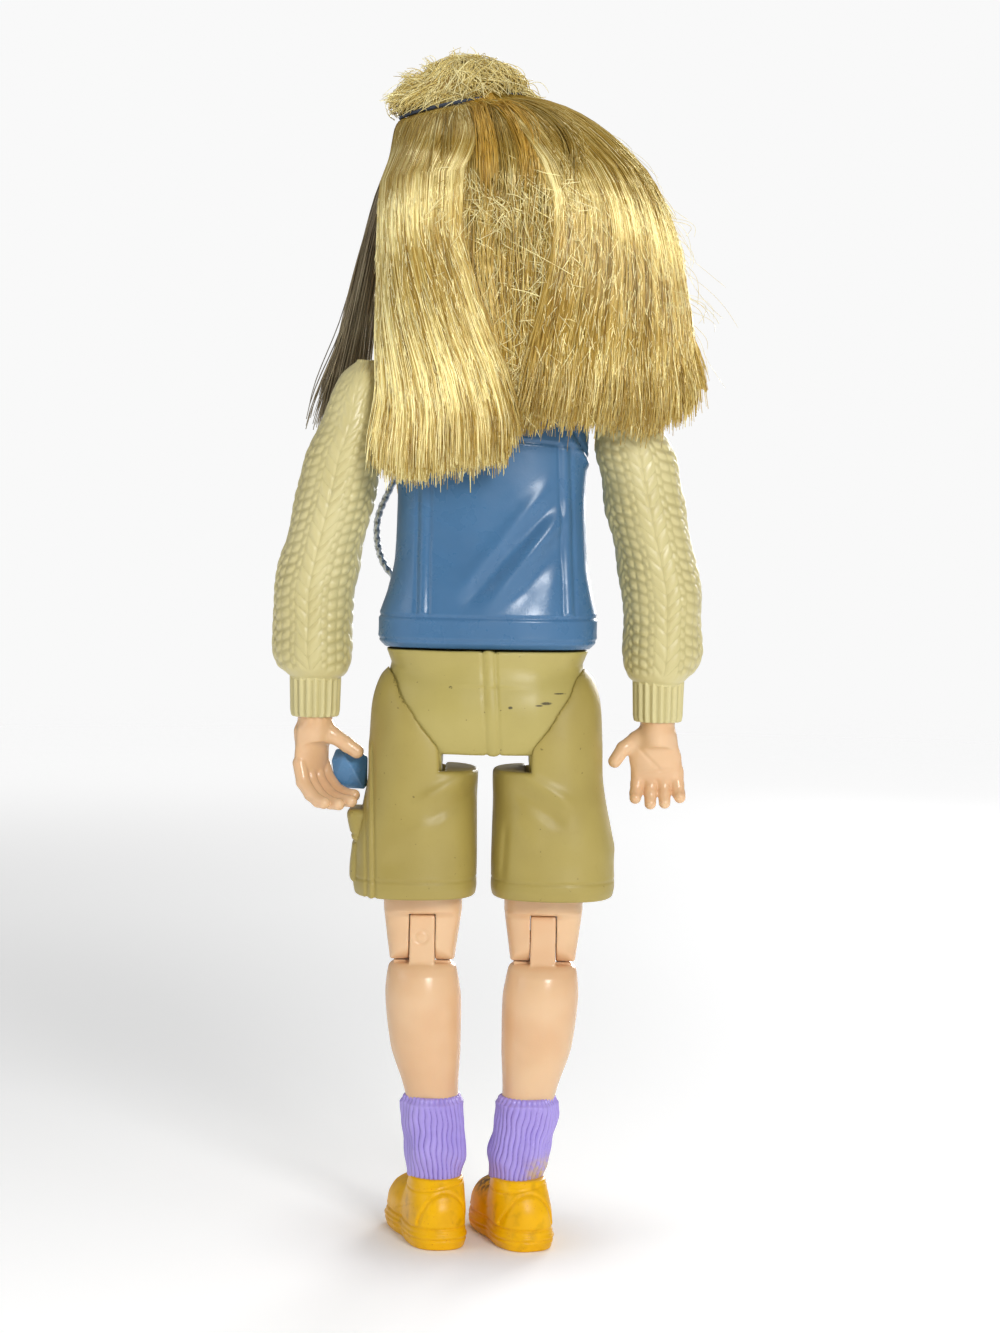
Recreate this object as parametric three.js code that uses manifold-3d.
// Miniature doll: a moulded, jointed figure with rooted hair, standing on both soles.
// Millimetres. +Z is up, the doll faces -Y, and its left side is +X.
import * as THREE from 'three';
import { mergeVertices } from 'three/addons/utils/BufferGeometryUtils.js';
import Module from 'manifold-3d';

const wasm = await Module();
wasm.setup();

// Clearances and walls shared by the whole figure
const gap = 0.3;
const wall = 1.5;
const left = 1;
const right = -1;

// Facets round a loft or a bar, and a reach past the whole figure for cutters
const bodyFacets = 24;
const limbFacets = 18;
const lockFacets = 12;
const barFacets = 24;
const far = 200;

// Heights of the main seams, from the floor
const hemZ = 83.5;
const shoulderZ = 116;
const torsoTopZ = 121.8;
const hipZ = 74.7;
const hipY = -1;
const kneeZ = 43;
const kneeY = 0;
const legX = 8.4;

const colour = {
  skin: 0xefc9a4, vest: 0x4a739a, knit: 0xc9c08a, khaki: 0xb0a058, seat: 0xc0b36e,
  sock: 0xa58adb, shoe: 0xedb200, hair: 0xe2c878, elastic: 0x6c7a8c, cord: 0xc4c8cc,
  pin: 0xb9bcc0, gadget: 0x3f6f9e,
};

function paint(hex, roughness = 0.45, metalness = 0) {
  return new THREE.MeshStandardMaterial({ color: hex, roughness, metalness });
}

const skin = paint(colour.skin, 0.4);
const vestBlue = paint(colour.vest, 0.35);
const knit = paint(colour.knit, 0.6);
const khaki = paint(colour.khaki, 0.55);
const seat = paint(colour.seat, 0.5);
const sockPurple = paint(colour.sock, 0.4);
const shoeYellow = paint(colour.shoe, 0.4);
const hairBlonde = paint(colour.hair, 0.3);
const elastic = paint(colour.elastic, 0.8);
const cordSilver = paint(colour.cord, 0.35, 0.8);
const pinSteel = paint(colour.pin, 0.3, 0.9);
const gadgetBlue = paint(colour.gadget, 0.35);

// A section of a loft. Its outline is a rounded box of half width w, reaching front to -Y
// and back to +Y of its centre (x, y), and round sets how square it is (2 is an ellipse).
function section(z, x, y, w, front, back = front, round = 2) {
  return [z, x, y, w, front, back, round];
}

// Rings between the given sections, with a smooth curve through every value
function refine(sections, rings) {
  const heights = sections.map((s) => s[0]);
  const values = sections.flatMap((s) => s.slice(1));
  const curve = new THREE.CubicInterpolant(heights, values, sections[0].length - 1);
  const low = heights[0];
  const high = heights[heights.length - 1];
  const result = [];
  for (let i = 0; i <= rings; i += 1) {
    const z = low + ((high - low) * i) / rings;
    result.push([z, ...curve.evaluate(z)]);
  }
  return result;
}

function outlinePoint([z, x, y, w, front, back, round], angle) {
  const c = Math.cos(angle);
  const s = Math.sin(angle);
  const power = 2 / round;
  const across = Math.sign(c) * Math.abs(c) ** power;
  const along = Math.sign(s) * Math.abs(s) ** power;
  return [x + w * across, y + (s < 0 ? front : back) * along, z];
}

// A closed skin over stacked rings of points, with a flat fan at each end
function skinOver(rings) {
  const count = rings[0].length;
  const positions = rings.flat();
  const index = [];
  for (let r = 0; r + 1 < rings.length; r += 1) {
    for (let i = 0; i < count; i += 1) {
      const j = (i + 1) % count;
      const a = r * count + i;
      const b = r * count + j;
      index.push(a, b, b + count, a, b + count, a + count);
    }
  }
  const ends = [rings[0], rings[rings.length - 1]];
  ends.forEach((ring, end) => {
    const centre = [0, 1, 2].map((k) => ring.reduce((sum, p) => sum + p[k], 0) / count);
    const hub = positions.push(centre) - 1;
    const start = end * (rings.length - 1) * count;
    for (let i = 0; i < count; i += 1) {
      const a = start + i;
      const b = start + ((i + 1) % count);
      index.push(...(end ? [hub, a, b] : [hub, b, a]));
    }
  });
  const geometry = new THREE.BufferGeometry();
  geometry.setAttribute('position', new THREE.Float32BufferAttribute(positions.flat(), 3));
  geometry.setIndex(index);
  return geometry;
}

// A loft on the sections as given, or on as many smooth rings between them as asked for
function loft(sections, facets, rings = 0) {
  const stack = rings ? refine(sections, rings) : sections;
  return skinOver(stack.map((s) => {
    const ring = [];
    for (let i = 0; i < facets; i += 1) {
      ring.push(outlinePoint(s, (2 * Math.PI * i) / facets));
    }
    return ring;
  }));
}

// Every outline of a loft moved outwards by a distance, or inwards where it is negative
function grown(sections, by) {
  return sections.map(([z, x, y, w, front, back, round]) => (
    section(z, x, y, w + by, front + by, back + by, round)
  ));
}

// Solids for cuts and joins
const sameVertex = 1e-4;

function solidOf(geometry) {
  const bare = geometry.clone();
  bare.deleteAttribute('normal');
  bare.deleteAttribute('uv');
  const merged = mergeVertices(bare, sameVertex);
  const vertProperties = new Float32Array(merged.attributes.position.array);
  const triVerts = new Uint32Array(merged.index.array);
  return new wasm.Manifold(new wasm.Mesh({ numProp: 3, vertProperties, triVerts }));
}

function geometryOf(solid) {
  const mesh = solid.getMesh();
  const geometry = new THREE.BufferGeometry();
  geometry.setAttribute('position', new THREE.BufferAttribute(mesh.vertProperties, mesh.numProp));
  geometry.setIndex(new THREE.BufferAttribute(mesh.triVerts, 1));
  return geometry;
}

function join(...geometries) {
  return geometryOf(geometries.map(solidOf).reduce((a, b) => a.add(b)));
}

function cut(body, ...tools) {
  return geometryOf(tools.map(solidOf).reduce((a, b) => a.subtract(b), solidOf(body)));
}

function common(a, b) {
  return geometryOf(solidOf(a).intersect(solidOf(b)));
}

function box(x0, x1, y0, y1, z0, z1) {
  return new THREE.BoxGeometry(x1 - x0, y1 - y0, z1 - z0)
    .translate((x0 + x1) / 2, (y0 + y1) / 2, (z0 + z1) / 2);
}

// A round bar along X, and one along Z
function barX(radius, x0, x1, y, z, facets = barFacets) {
  return new THREE.CylinderGeometry(radius, radius, Math.abs(x1 - x0), facets)
    .rotateZ(Math.PI / 2).translate((x0 + x1) / 2, y, z);
}

function barZ(radius, z0, z1, x, y, facets = barFacets) {
  return new THREE.CylinderGeometry(radius, radius, z1 - z0, facets)
    .rotateX(Math.PI / 2).translate(x, y, (z0 + z1) / 2);
}

// A turned shape about an axis along X, from [distance along X, radius] pairs
function turnedX(profile, y, z, facets) {
  const points = profile.map(([x, r]) => new THREE.Vector2(r, x));
  return new THREE.LatheGeometry(points, facets).rotateZ(-Math.PI / 2).translate(0, y, z);
}

// A shape drawn for the doll's left side is mirrored for its right
function sided(side, geometry) {
  if (side === left) return geometry;
  const mirrored = geometry.clone().scale(-1, 1, 1);
  const index = mirrored.index.array;
  for (let i = 0; i < index.length; i += 3) {
    [index[i], index[i + 1]] = [index[i + 1], index[i]];
  }
  return mirrored;
}

const doll = new THREE.Group();

function add(name, geometry, material) {
  const mesh = new THREE.Mesh(geometry, material);
  mesh.name = name;
  doll.add(mesh);
}

// Torso: two vest shells that close on the neck post, the arm pegs and the waist post
const neckR = 4.2;
const hemHalfWidth = 15.15;
const vestRings = 8;
const vestOutline = [
  section(hemZ, 0, 0, hemHalfWidth, 9.5, 9.4, 2.5),
  section(87, 0, 0, hemHalfWidth, 9.7, 9.5, 2.5),
  section(91.5, 0, 0, 14.4, 9.5, 9.1, 2.5),
  section(96, 0, 0, 13.8, 9.2, 8.8, 2.5),
  section(104, 0, 0, 13.5, 9, 8.8, 2.5),
  section(112, 0, 0, 13.6, 8.8, 8.8, 2.4),
  section(117, 0, 0, 13.2, 7.6, 7.6, 2.3),
  section(120.3, 0, 0, 11, 6.2, 6.2, 2.2),
  section(torsoTopZ, 0, 0, 8, 5.3, 5.3, 2.1),
];
const vestHollow = grown(vestOutline, -wall).map((s, i, all) => {
  if (i === 0) return [hemZ + wall, ...s.slice(1)];
  if (i === all.length - 1) return [torsoTopZ - wall, ...s.slice(1)];
  if (i === all.length - 2) return [torsoTopZ - 2 * wall, ...s.slice(1)];
  return s;
});

// Waist post of the pelvis, turning in the hole in the vest's floor
const waistPostR = 3.4;
const waistFlangeR = 5.2;
const waistFlangeZ = hemZ + wall + gap;
const waistFlangeHeight = 1.6;

// Arm pegs, turning in holes in the vest's sides
const armPegR = 2.5;
const armPegHeadR = 3.1;
const armPegHeadThick = 1.2;
const armPegEndX = 5.8;
const armInnerX = 14.5;
const armY = 0;

const torsoShell = cut(
  loft(vestOutline, bodyFacets, vestRings),
  loft(vestHollow, bodyFacets, vestRings),
  barZ(waistPostR + gap, hemZ - wall, hemZ + 2 * wall, 0, 0),
  barZ(neckR + gap, torsoTopZ - 3 * wall, far, 0, 0),
  barX(armPegR + gap, -far, far, armY, shoulderZ),
);
add('vest_back', cut(torsoShell, box(-far, far, -far, gap / 2, 0, far)), vestBlue);
add('vest_front', cut(torsoShell, box(-far, far, -gap / 2, far, 0, far)), vestBlue);

// Sweater collar round the neck post
const collarTopZ = 124;
const collarSections = [
  section(torsoTopZ + gap, 0, 0, 6.4, 6.2),
  section(collarTopZ - 0.8, 0, 0, 6.1, 5.9),
  section(collarTopZ, 0, 0, 5.4, 5.3),
];
add('sweater_collar', cut(
  loft(collarSections, limbFacets),
  barZ(neckR + gap, torsoTopZ, far, 0, 0),
), knit);

// Neck post, held under the vest's top and carrying the head on its knob
const neckFlangeR = 5.2;
const neckFlangeThick = 2;
const neckKnobR = 5;
const neckKnobZ = 126.9;
const neckKnobHeight = 3.4;
const neckFlangeTopZ = shoulderZ + 0.6;
add('neck_post', join(
  barZ(neckR, neckFlangeTopZ - 1, neckKnobZ + 1, 0, 0),
  barZ(neckFlangeR, neckFlangeTopZ - neckFlangeThick, neckFlangeTopZ, 0, 0),
  barZ(neckKnobR, neckKnobZ, neckKnobZ + neckKnobHeight, 0, 0),
), skin);

// Braided neck cord: one free stretch that starts and ends at its clasp behind the neck
const cordR = 0.5;
const claspHalfWidth = 1.3;
const claspY = 7.4;
const claspZ = 121.7;
const claspHalfDepth = 0.8;
const cordPoints = [
  [claspHalfWidth + gap, claspY, claspZ], [4.6, 7, 122.5], [7.6, 3.6, 123.1],
  [8.7, -1.6, 122.4], [8.9, -6.4, 119.4], [10.4, -9.4, 113.4], [13.7, -10.6, 106.4],
  [16, -10.1, 100.2], [14.8, -10.9, 94.2], [9.6, -11.3, 90.4], [2.8, -11.1, 88.9],
  [-4.2, -11.1, 89.1], [-9.6, -11.1, 92.7], [-11.9, -10.7, 99.6], [-11.2, -10.5, 107],
  [-9.7, -9.6, 114], [-8.9, -6.4, 119.6], [-8.7, -1.6, 122.5], [-7.6, 3.6, 123.1],
  [-4.6, 7, 122.5], [-claspHalfWidth - gap, claspY, claspZ],
];
const cordSteps = 76;
const cordSides = 6;

function roundSection(radius, sides) {
  const shape = new THREE.Shape();
  for (let i = 0; i < sides; i += 1) {
    const a = (2 * Math.PI * i) / sides;
    const x = radius * Math.cos(a);
    const y = radius * Math.sin(a);
    if (i === 0) shape.moveTo(x, y);
    else shape.lineTo(x, y);
  }
  shape.closePath();
  return shape;
}

const cordPath = new THREE.CatmullRomCurve3(cordPoints.map((p) => new THREE.Vector3(...p)));
add('neck_cord', new THREE.ExtrudeGeometry(roundSection(cordR, cordSides), {
  steps: cordSteps, extrudePath: cordPath, bevelEnabled: false,
}), cordSilver);
add('cord_clasp', box(
  -claspHalfWidth, claspHalfWidth, claspY - claspHalfDepth, claspY + claspHalfDepth,
  claspZ - claspHalfDepth, claspZ + claspHalfDepth,
), pinSteel);

// Head: a hollow vinyl shell with an opening that snaps over the neck knob
const headY = -0.8;
const headTopZ = 157;
const headSections = [
  section(124.7, 0, headY, 5.9, 7.4, 7.2),
  section(126.6, 0, headY, 8.8, 11, 9.2),
  section(129.8, 0, headY, 11.3, 12.6, 11.3),
  section(134.5, 0, headY, 13, 13, 13.2),
  section(140.5, 0, headY, 13.8, 12.8, 14.4),
  section(146.5, 0, headY, 13.5, 12.6, 14.5),
  section(151.5, 0, headY, 11.6, 10.8, 12.7),
  section(155, 0, headY, 8.2, 7.6, 9),
  section(headTopZ, 0, headY, 3.4, 3.2, 3.8),
];
const headWall = 1.8;
const headHollow = grown(headSections.slice(1, 8), -headWall).map((s, i, all) => {
  if (i === 0) return [s[0] - 0.2, ...s.slice(1)];
  if (i === all.length - 1) return [s[0] - 0.6, ...s.slice(1)];
  return s;
});
const noseR = 1.7;
const noseY = -14.1;
const noseZ = 134.2;
const nose = new THREE.SphereGeometry(noseR, 10, 8).scale(0.85, 1, 1).translate(0, noseY, noseZ);
const headRings = 10;
const headHollowRings = 6;
add('head', cut(
  join(loft(headSections, bodyFacets, headRings), nose),
  loft(headHollow, limbFacets, headHollowRings),
  barZ(neckR + gap, torsoTopZ, neckKnobZ + 1, 0, 0),
), skin);

// Rooted hair: a cap over the scalp, two back curtains, two front locks and a tied puff
const scalpHair = 1.3;
const capBottomZ = 130.4;
const capRise = 1.4;
const capTopZ = headTopZ + capRise;
const capFrontY = -4.6;
const capRings = 9;
const hairlineZ = 149;
const capOutline = [
  section(capBottomZ, 0, headY, 12.9, 13, 12.9),
  ...grown(headSections.slice(3, 7), scalpHair),
  section(155.6, 0, headY, 9.6, 8.8, 10.4),
  section(capTopZ, 0, headY, 3.6, 3.4, 4),
];
add('hair_cap', cut(
  loft(capOutline, bodyFacets, capRings),
  loft(grown(headSections, gap), bodyFacets, headRings),
  box(-far, far, -far, capFrontY, 0, hairlineZ),
), hairBlonde);

// A hanging curtain of hair. Each of its sections is a band round the head's middle:
// [height, outer half width, outer depth, inner half width, inner depth, first, last],
// with both angles in degrees from straight behind towards the curtain's side.
const curtainSteps = 12;

function curtain(side, bands) {
  return skinOver(bands.map(([z, width, depth, innerWidth, innerDepth, first, last]) => {
    const outer = [];
    const inner = [];
    for (let i = 0; i <= curtainSteps; i += 1) {
      const turn = THREE.MathUtils.degToRad(first + ((last - first) * i) / curtainSteps);
      const s = Math.sin(turn);
      const c = Math.cos(turn);
      outer.push([side * width * s, headY + depth * c, z]);
      inner.push([side * innerWidth * s, headY + innerDepth * c, z]);
    }
    const ring = [...outer, ...inner.reverse()];
    return side === right ? ring : ring.reverse();
  }));
}

const leftBands = [
  [106.6, 18.6, 16.6, 16, 14, -4, 56],
  [113, 18.4, 17, 15.8, 14.4, -4, 58],
  [120, 18.2, 17.4, 15.8, 15, -4, 62],
  [127, 18.4, 17.6, 16.2, 15.4, -2, 78],
  [134, 18.6, 17.6, 16.4, 15.8, 2, 92],
  [141, 18, 17.6, 15.8, 16.4, 8, 97],
  [147, 16.6, 17.4, 15.3, 16.4, 14, 98],
  [151, 15.2, 16, 14, 15, 18, 96],
  [154.5, 12.9, 13.8, 11.9, 12.8, 22, 52],
];
const rightBands = [
  [113, 29.8, 16.4, 27, 13.6, 8, 92],
  [119, 30, 16.8, 27.2, 14, 9, 95],
  [125, 29.6, 17.2, 27, 14.6, 10, 97],
  [131, 28.4, 17.6, 25.6, 15.2, 12, 98],
  [138, 26.2, 17.7, 22.6, 16.2, 14, 98],
  [144, 23.2, 17.6, 18.4, 16.5, 17, 98],
  [149, 20, 16.8, 15, 15.8, 20, 96],
  [153.5, 15.4, 14.6, 12, 13.2, 24, 92],
  [156, 11.8, 12, 9.6, 10.5, 32, 85],
];
add('hair_curtain_left', curtain(left, leftBands), hairBlonde);
add('hair_curtain_right', curtain(right, rightBands), hairBlonde);

// Front locks, one beside each cheek
const lockBottomZ = 115;
const lockTopZ = 151;
const leftLock = [
  section(lockBottomZ, 22.5, -10, 2, 2.4),
  section(122, 21.1, -10, 2.2, 2.6),
  section(132, 18.7, -8.6, 2.1, 3),
  section(142, 16.3, -7.8, 1.8, 2.9),
  section(148, 14.7, -7.5, 1.5, 2.6),
  section(lockTopZ, 13.4, -7.3, 1.2, 2.4),
];
const rightLock = [
  section(lockBottomZ + 1, 20.6, -10, 2, 2.4),
  section(122, 20, -10, 2.2, 2.6),
  section(132, 18.3, -8.6, 2.1, 3),
  section(142, 16.3, -7.8, 1.8, 2.9),
  section(148, 14.7, -7.5, 1.5, 2.6),
  section(lockTopZ, 13.4, -7.3, 1.2, 2.4),
];
const lockRings = 8;
add('hair_lock_left', loft(leftLock, lockFacets, lockRings), hairBlonde);
add('hair_lock_right', sided(right, loft(rightLock, lockFacets, lockRings)), hairBlonde);

// Puff of gathered hair on the crown, and the elastic band round its root
const puffX = 4.6;
const puffY = -1;
const puffRootWidth = 8.4;
const puffRootDepth = 6;
const puffBandZ = capTopZ - 0.4;
const puffBandTilt = 6;
const puffHeight = 6.8;
const puffRootDrop = 5.4;
const puffSections = [
  section(puffBandZ - puffRootDrop, puffX, puffY, puffRootWidth, puffRootDepth),
  section(puffBandZ + 1.8, puffX, puffY, puffRootWidth, puffRootDepth),
  section(puffBandZ + 2.6, puffX, puffY, 9.7, 7),
  section(puffBandZ + 4.2, puffX, puffY, 9.2, 6.6),
  section(puffBandZ + 5.9, puffX, puffY, 6.6, 4.6),
  section(puffBandZ + puffHeight, puffX, puffY, 2.4, 1.8),
];
const capRoom = grown(capOutline, gap).map((s, i, all) => (
  i === all.length - 1 ? [s[0] + gap, ...s.slice(1)] : s
));
add('hair_puff', cut(
  loft(puffSections, limbFacets),
  loft(capRoom, bodyFacets, capRings),
), hairBlonde);
const bandR = 0.55;
add('hair_band', new THREE.TorusGeometry(1, bandR / puffRootWidth, 6, 28)
  .scale(puffRootWidth + gap + bandR, puffRootDepth + gap + bandR, puffRootWidth)
  .rotateY(THREE.MathUtils.degToRad(puffBandTilt))
  .translate(puffX, puffY, puffBandZ), elastic);

// Arms: each sweater sleeve is one moulding with its shoulder peg
const cuffTopZ = 79.3;
const cuffBottomZ = 73.7;
const cuffX = 23.9;
const cuffHalfWidth = 3.5;
const cuffHalfDepth = 4.1;
const wristY = -0.8;
const sleeveSections = [
  section(cuffTopZ - 0.4, cuffX, wristY, cuffHalfWidth, cuffHalfDepth),
  section(cuffTopZ, cuffX, wristY, 4, 4.7),
  section(80.6, 24.2, wristY, 4.9, 5.6),
  section(83.4, 24.4, wristY, 5.45, 6.2),
  section(90, 24.3, -0.6, 5.4, 6.3),
  section(95.5, 23.4, -0.4, 5.5, 6.3),
  section(101, 22.1, -0.2, 5.4, 6.2),
  section(109.2, 20.4, armY, 5.4, 6.1),
  section(113.8, 19.1, armY, 4.55, 5.8),
  section(118, 18.4, armY, 3.85, 5.2),
  section(120.9, 17.7, armY, 2.9, 3.8),
  section(122.4, 17.3, armY, 1.3, 1.6),
];
const wristPegR = 1.8;
const wristPegTopZ = 80;
const shoulderBossR = 4.4;
const shoulderRootX = 19;
const sleeveRings = 10;

function sleeve(side) {
  return sided(side, cut(
    join(
      loft(sleeveSections, limbFacets, sleeveRings),
      loft([
        section(cuffBottomZ, cuffX, wristY, cuffHalfWidth - 0.15, cuffHalfDepth - 0.2),
        section(cuffTopZ, cuffX, wristY, cuffHalfWidth, cuffHalfDepth),
      ], limbFacets),
      barX(shoulderBossR, armInnerX, shoulderRootX, armY, shoulderZ),
      barX(armPegR, armPegEndX, shoulderRootX, armY, shoulderZ),
      barX(armPegHeadR, armPegEndX, armPegEndX + armPegHeadThick, armY, shoulderZ),
    ),
    barZ(wristPegR + gap, cuffBottomZ - 1, wristPegTopZ + gap, cuffX, wristY),
  ));
}

add('left_sleeve', sleeve(left), knit);
add('right_sleeve', sleeve(right), knit);

// Hands: each one moulding of palm, fingers, thumb and wrist peg. A digit is a chain of
// rounded links through its knuckle points, thinner towards its tip.
const digitTaper = 0.15;
const digitSides = 6;

function digit(points, radius) {
  const up = new THREE.Vector3(0, 1, 0);
  const links = [];
  for (let i = 0; i + 1 < points.length; i += 1) {
    const a = new THREE.Vector3(...points[i]);
    const b = new THREE.Vector3(...points[i + 1]);
    const thick = radius * (1 - (digitTaper * i) / (points.length - 1));
    const link = new THREE.CapsuleGeometry(thick, a.distanceTo(b), 2, digitSides);
    const turn = new THREE.Quaternion().setFromUnitVectors(up, b.clone().sub(a).normalize());
    links.push(link.applyQuaternion(turn).translate(...a.clone().add(b).multiplyScalar(0.5)));
  }
  return links;
}

const wristTopZ = cuffBottomZ - gap;
const fingerR = 0.95;
const thumbR = 1.05;
const fingerPitch = 1.75;
const palmRings = 4;

function wristAndPeg() {
  return [
    loft([
      section(70.4, cuffX, wristY, 2.2, 3),
      section(wristTopZ, cuffX, wristY, 2.5, 3.1),
    ], limbFacets),
    barZ(wristPegR, wristTopZ - 1, wristPegTopZ, cuffX, wristY),
  ];
}

// The left hand closes on the gadget. Its palm is turned half towards the body, and a point of
// it is given by its distance across the palm, its distance out from the palm, and its height.
const gripX = 24.3;
const gripTurn = THREE.MathUtils.degToRad(40);
const gripSin = Math.sin(gripTurn);
const gripCos = Math.cos(gripTurn);

function gripDigit(knuckles, radius) {
  return digit(knuckles.map(([across, out, z]) => [
    gripX + across * gripSin - out * gripCos, wristY + across * gripCos + out * gripSin, z,
  ]), radius);
}

const gripPalm = loft([
  section(65.4, 0, 0, 1.15, 2.9),
  section(68, 0, 0, 1.4, 3.15),
  section(71.4, 0, 0, 1.8, 2.9),
], limbFacets, palmRings).rotateZ(-gripTurn).translate(gripX, wristY, 0);
const gripFingers = [
  [[-2.4, 0, 66.2], [-2.4, 0.9, 64.6], [-2.4, 2.9, 63.5], [-2.4, 5.3, 63.5]],
  [[-0.8, 0, 66.3], [-0.8, 1, 64], [-0.8, 3.3, 62.4], [-0.8, 6, 62.1]],
  [[0.8, 0, 66.5], [0.8, 0.9, 64], [0.8, 2.9, 62.1], [0.8, 5.2, 61.6]],
  [[2.4, 0, 66.6], [2.4, 0.9, 64.2], [2.4, 2.7, 62.6], [2.4, 4.2, 62]],
].flatMap((knuckles) => gripDigit(knuckles, fingerR));
const gripThumb = digit(
  [[22.9, -0.6, 71.6], [21.2, -0.2, 70.6], [19.2, 0.2, 69.3], [18, 0.3, 68.5]], thumbR,
);
add('left_hand', join(...wristAndPeg(), gripPalm, ...gripFingers, ...gripThumb), skin);

// The right hand hangs open: palm towards the back, thumb towards the body
const palmX = cuffX - 0.2;
const rightPalm = loft([
  section(65.4, palmX + 0.3, wristY - 0.4, 3.5, 1.2),
  section(68.2, palmX, wristY - 0.3, 3.6, 1.5),
  section(71.4, cuffX, wristY, 2.6, 2.2),
], limbFacets, palmRings);
const openFingers = [0, 1, 2, 3].flatMap((n) => {
  const x = palmX + 3 - n * fingerPitch;
  const tipZ = [62.9, 62.1, 61.9, 62.6][n];
  const tipY = wristY + 0.7;
  return digit([[x, wristY - 0.4, 66], [x, wristY - 0.2, 64], [x - 0.1, tipY, tipZ]], fingerR);
});
const openThumb = digit([[21.8, wristY, 70.2], [19.4, wristY + 0.3, 68.9], [18.2, 0, 67.7]], thumbR);
add('right_hand', sided(right, join(
  ...wristAndPeg(), rightPalm, ...openFingers, ...openThumb,
)), skin);

// Toy gadget in the left hand: a small faceted case
const gadgetX = 19.6;
const gadgetY = -3.5;
const gadgetZ = 66.8;
const gadgetHalfWidth = 1.8;
const gadgetHalfHeight = 2.2;
const gadgetChamfer = 0.9;
const gadgetLength = 3;
const gadgetBevel = 0.01;
const gadgetShape = new THREE.Shape([
  [-gadgetHalfWidth, -gadgetHalfHeight + gadgetChamfer],
  [-gadgetHalfWidth + gadgetChamfer, -gadgetHalfHeight],
  [gadgetHalfWidth - gadgetChamfer, -gadgetHalfHeight],
  [gadgetHalfWidth, -gadgetHalfHeight + gadgetChamfer],
  [gadgetHalfWidth, gadgetHalfHeight - gadgetChamfer],
  [gadgetHalfWidth - gadgetChamfer, gadgetHalfHeight],
  [-gadgetHalfWidth + gadgetChamfer, gadgetHalfHeight],
  [-gadgetHalfWidth, gadgetHalfHeight - gadgetChamfer],
].map(([x, y]) => new THREE.Vector2(x, y)));
add('held_gadget', new THREE.ExtrudeGeometry(gadgetShape, {
  depth: gadgetLength - 2 * gadgetChamfer, bevelThickness: gadgetChamfer,
  bevelSize: gadgetBevel, bevelOffset: -gadgetBevel, bevelSegments: 1,
}).rotateX(Math.PI / 2)
  .translate(gadgetX, gadgetY + gadgetLength / 2 - gadgetChamfer, gadgetZ), gadgetBlue);

// Pelvis: a seat turned about the hip axis, so that the legs swing on it, with a waist rim
const domeProfile = [
  [13.6, 5.6], [13.2, 6.6], [12.2, 7.9], [10.9, 8.9], [8.6, 10], [6.4, 10.7], [3, 11.1],
];
const domeSideX = domeProfile[0][0];
const crotchHalfWidth = 6;
const crotchZ = 69;
const hipFrontR = 7.8;
const pelvisFrontY = -8.9;
const rimBottomZ = 82.4;
const pelvisTopZ = hemZ - gap;
const seatFacets = 24;
const waistPegR = waistPostR - 1;
const waistPegDepth = 5.6;
const axleR = 1.5;
const axleEnd = 15;

function mirroredProfile(profile, by = 0) {
  const half = profile.map(([x, r]) => [x, r + by]);
  const other = half.slice().reverse().map(([x, r]) => [-x, r]);
  return [[domeSideX, 0], ...half, ...other, [-domeSideX, 0]];
}

const seatDome = turnedX(mirroredProfile(domeProfile).reverse(), hipY, hipZ, seatFacets);
const seatUpper = cut(
  loft([
    section(79.6, 0, 0, 12.6, 8.6, 9.4, 2.4),
    section(81.4, 0, 0, 13.3, 8.6, 9.1, 2.4),
    section(pelvisTopZ, 0, 0, 13.6, 8.7, 8.8, 2.4),
  ], bodyFacets),
  box(-far, far, -far, hipY, 0, rimBottomZ),
);
const crotchRoom = cut(
  box(-crotchHalfWidth, crotchHalfWidth, -far, far, 0, hipZ),
  join(
    barX(hipFrontR, -far, far, hipY, hipZ, seatFacets),
    box(-far, far, hipY, far, 0, hipZ + 1),
  ),
);
const seatLower = cut(
  seatDome,
  box(-crotchHalfWidth, crotchHalfWidth, -far, far, 0, crotchZ),
  box(-far, far, -far, pelvisFrontY, 0, far),
  box(-far, far, -far, far, pelvisTopZ, far),
  crotchRoom,
);
add('pelvis', cut(
  join(seatLower, seatUpper),
  barX(axleR + gap, -far, far, hipY, hipZ),
  barZ(waistPegR + gap, hemZ - waistPegDepth - gap, far, 0, 0),
), seat);

// Waist post: pressed into the pelvis and turning in the vest's floor
add('waist_post', join(
  barZ(waistPegR, hemZ - waistPegDepth, hemZ + 1, 0, 0),
  barZ(waistPostR, pelvisTopZ + gap, waistFlangeZ + gap, 0, 0),
  barZ(waistFlangeR, waistFlangeZ, waistFlangeZ + waistFlangeHeight, 0, 0),
), seat);
add('hip_axle', barX(axleR, -axleEnd, axleEnd, hipY, hipZ), pinSteel);

// Legs: shorts leg, knee fork and pin, then calf, sock and shoe
const shortsHemZ = 48.8;
const shelfZ = 66.5;
const innerWallX = 6.3;
const shelfCutX = 5.7;
const shortsSections = [
  section(shortsHemZ, 9.6, 0, 8.3, 8.8, 9.2, 2.6),
  section(50.6, 9.6, 0, 8.6, 9.1, 9.6, 2.6),
  section(56, 9.5, 0, 8.45, 8.9, 9.5, 2.6),
  section(62, 9, 0, 7.9, 8.8, 9.4, 2.5),
  section(66.5, 8.7, 0, 7.6, 8.8, 9.4, 2.4),
  section(70.6, 8.9, 0, 7.3, 8.7, 9.3, 2.2),
  section(74.5, 9.9, 0, 6.1, 8, 8.9, 2),
  section(77.8, 11.7, 0.3, 3.6, 6, 6.8, 2),
  section(80.2, 12.9, 0.6, 1.8, 3.3, 4, 2),
  section(80.7, 13.4, 0.8, 0.9, 1.2, 1.6, 2),
];
const shortsRings = 12;
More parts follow.
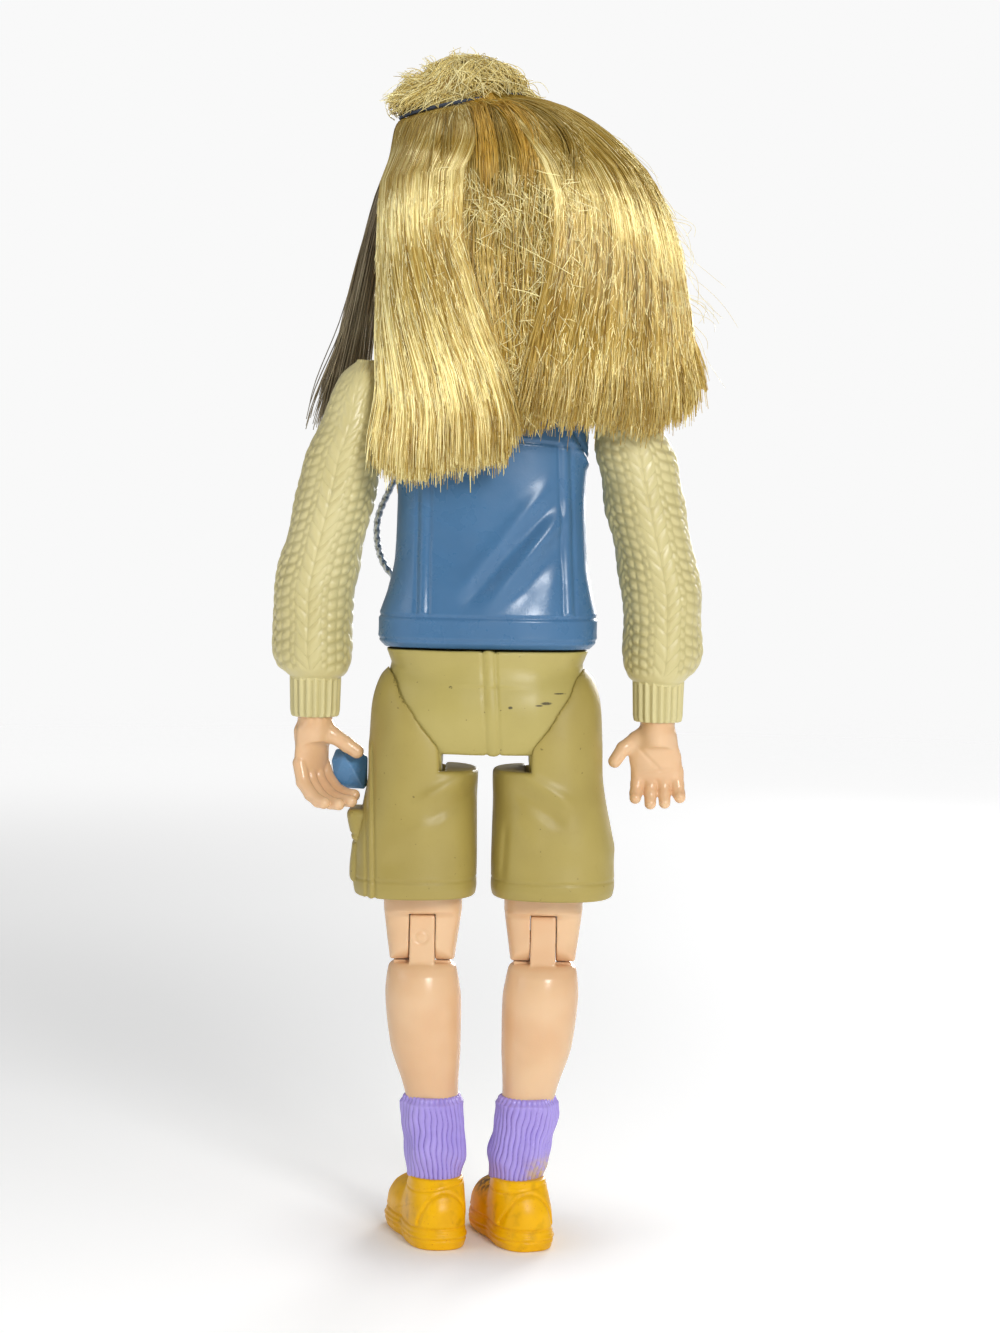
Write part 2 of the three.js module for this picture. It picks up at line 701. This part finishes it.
const stubTopZ = 59.6;
const earBottomZ = 39.8;
const earR = 3.5;
const forkSections = [
  section(earBottomZ, legX, kneeY, 4.5, earR, earR, 3),
  section(45.7, legX, kneeY, 5.3, earR, earR, 3),
  section(46.6, legX, kneeY, 5.4, 4.4, 4.4, 2.6),
  section(46.9, legX, kneeY, 5.45, 4.9, 4.9, 2.2),
  section(stubTopZ, legX, kneeY, 5.5, 5.2),
];
const tongueHalfWidth = 1.75;
const tongueR = 3.4;
const kneePinR = 0.9;
const kneePinEnd = 4.3;

// The room that the seat dome needs inside the top of a shorts leg
function hipCutter() {
  const profile = domeProfile.filter(([x]) => x > shelfCutX).map(([x, r]) => [x, r + gap]);
  const innerR = profile[profile.length - 1][1];
  const outerX = domeSideX + gap;
  return turnedX([
    [shelfCutX, 0], [shelfCutX, innerR], ...profile.reverse(),
    [outerX, domeProfile[0][1] - gap], [outerX, 0],
  ], hipY, hipZ, seatFacets);
}

function shortsLeg(side) {
  return sided(side, cut(
    loft(shortsSections, bodyFacets, shortsRings),
    hipCutter(),
    box(-far, innerWallX, -far, far, shelfZ, far),
    barX(axleR + gap, shelfCutX, axleEnd + gap, hipY, hipZ),
    loft(grown([
      section(shortsHemZ - 1, legX, kneeY, 5.5, 5.2),
      section(stubTopZ + gap, legX, kneeY, 5.5, 5.2),
    ], gap), limbFacets),
  ));
}

// Below the pin both ears end on a round, which the top of the calf clears as it swings back
function kneeFork(side) {
  const slotHalfWidth = tongueHalfWidth + gap;
  const pastEarRound = cut(
    box(0, far, -far, far, 0, kneeZ),
    barX(earR, 0, far, kneeY, kneeZ),
  );
  return sided(side, cut(
    loft(forkSections, limbFacets),
    pastEarRound,
    box(legX - slotHalfWidth, legX + slotHalfWidth, -far, far, 0, kneeZ + tongueR + gap),
    barX(kneePinR + gap, 0, far, kneeY, kneeZ),
  ));
}

function kneePin(side) {
  return sided(side, barX(kneePinR, legX - kneePinEnd, legX + kneePinEnd, kneeY, kneeZ, limbFacets));
}

const calfTopZ = 39.4;
const calfBottomZ = 19;
const ankleX = 6.6;
const spigotR = 2.2;
const spigotBottomZ = 4.4;
const calfRings = 8;
const sockRings = 6;
const calfSections = [
  section(calfBottomZ, ankleX, 0, 3.55, 3.9, 3.7),
  section(21.5, 6.9, 0, 3.8, 4, 3.9),
  section(28, 7.8, 0, 4.95, 4.5, 5),
  section(34.5, 8.2, 0, 5.3, 4.7, 5.4),
  section(37.4, 8.35, 0, 5, 4.5, 5),
  section(calfTopZ, legX, 0, 4.6, 4.1, 3.9),
];

function calf(side) {
  return sided(side, cut(
    join(
      loft(calfSections, limbFacets, calfRings),
      barX(tongueR, legX - tongueHalfWidth, legX + tongueHalfWidth, kneeY, kneeZ),
      box(legX - tongueHalfWidth, legX + tongueHalfWidth, -tongueR, tongueR, calfTopZ - 1, kneeZ),
      barZ(spigotR, spigotBottomZ, calfBottomZ + 1, ankleX, 0),
    ),
    barX(kneePinR + gap, 0, far, kneeY, kneeZ),
  ));
}

const sockTopZ = 20.5;
const sockBottomZ = 9.7;
const sockSections = [
  section(sockBottomZ, 6.1, 0, 3.75, 4.3),
  section(14, 6.3, 0, 4.2, 4.5),
  section(17.6, 6.5, 0, 4.2, 4.6),
  section(sockTopZ, 6.7, 0, 4.3, 4.7),
];

function sock(side) {
  return sided(side, cut(
    loft(sockSections, limbFacets, sockRings),
    barZ(spigotR + gap, 0, far, ankleX, 0),
    loft(grown([
      section(calfBottomZ - gap, ankleX, 0, 3.55, 3.9, 3.7),
      section(sockTopZ + 0.5, 6.8, 0, 3.8, 4, 3.9),
    ], gap), limbFacets),
  ));
}

// The shoe is drawn toes straight ahead, as a narrow heel and a wider toe, and is then turned
// about its ankle
const heelX = 6.2;
const heelY = 1.2;
const toeX = 6.4;
const toeY = -7.2;
const shoeTopZ = sockBottomZ - gap;
const soleThick = 2.2;
const toeTurn = 16;
const heelSections = [
  section(0, heelX, heelY, 3.5, 7, 5.8, 2.6),
  section(soleThick - 0.3, heelX, heelY, 3.85, 7.4, 6.2, 2.6),
  section(soleThick, heelX, heelY, 3.65, 7.2, 6, 2.5),
  section(5, heelX, heelY, 3.75, 7, 5.8, 2.4),
  section(7.2, heelX, heelY, 3.7, 6.6, 5, 2.3),
  section(8.6, heelX, heelY, 3.7, 6, 4, 2.2),
  section(shoeTopZ, heelX, heelY, 3.7, 5.6, 3.6, 2),
];
const toeSections = [
  section(0, toeX, toeY, 4.3, 6.6, 7, 2.4),
  section(soleThick - 0.3, toeX, toeY, 4.65, 7, 7, 2.4),
  section(soleThick, toeX, toeY, 4.45, 6.8, 7, 2.4),
  section(4.6, toeX, toeY, 4.2, 6.3, 7, 2.3),
  section(6.4, toeX, toeY, 3.4, 5, 6.8, 2.2),
  section(7.6, toeX, toeY, 2, 3, 6.4, 2),
];

function shoe(side) {
  const straight = sided(side, cut(
    join(loft(heelSections, bodyFacets), loft(toeSections, bodyFacets)),
    barZ(spigotR + 2 * gap, spigotBottomZ - gap, shoeTopZ + 1, ankleX, 0),
  ));
  const turn = THREE.MathUtils.degToRad(toeTurn);
  return straight.translate(-side * ankleX, 0, 0).rotateZ(turn).translate(side * ankleX, 0, 0);
}

// Cargo pocket on the outside of the left leg, thin at its foot and full under its flap
const pocketBottomZ = 52;
const pocketHeight = 8;
const pocketThin = 0.6;
const pocketThick = 1.9;
const pocketFrontY = -4.6;
const pocketBackY = 4.2;
const pocketRings = 6;
const legBehindPocket = shortsSections.slice(0, 5);
const pocketOutline = refine(legBehindPocket, pocketRings).map(([z, x, y, w, ...rest]) => {
  const rise = THREE.MathUtils.clamp((z - pocketBottomZ) / pocketHeight, 0, 1);
  return [z, x, y, w + pocketThin + (pocketThick - pocketThin) * rise, ...rest];
});
add('cargo_pocket', cut(
  common(
    loft(pocketOutline, bodyFacets),
    box(legX, far, pocketFrontY, pocketBackY, pocketBottomZ, pocketBottomZ + pocketHeight),
  ),
  loft(grown(legBehindPocket, gap), bodyFacets, shortsRings),
), khaki);

for (const [name, side] of [['left', left], ['right', right]]) {
  add(`${name}_shorts_leg`, shortsLeg(side), khaki);
  add(`${name}_knee_fork`, kneeFork(side), skin);
  add(`${name}_knee_pin`, kneePin(side), pinSteel);
  add(`${name}_calf`, calf(side), skin);
  add(`${name}_sock`, sock(side), sockPurple);
  add(`${name}_shoe`, shoe(side), shoeYellow);
}

export default doll;
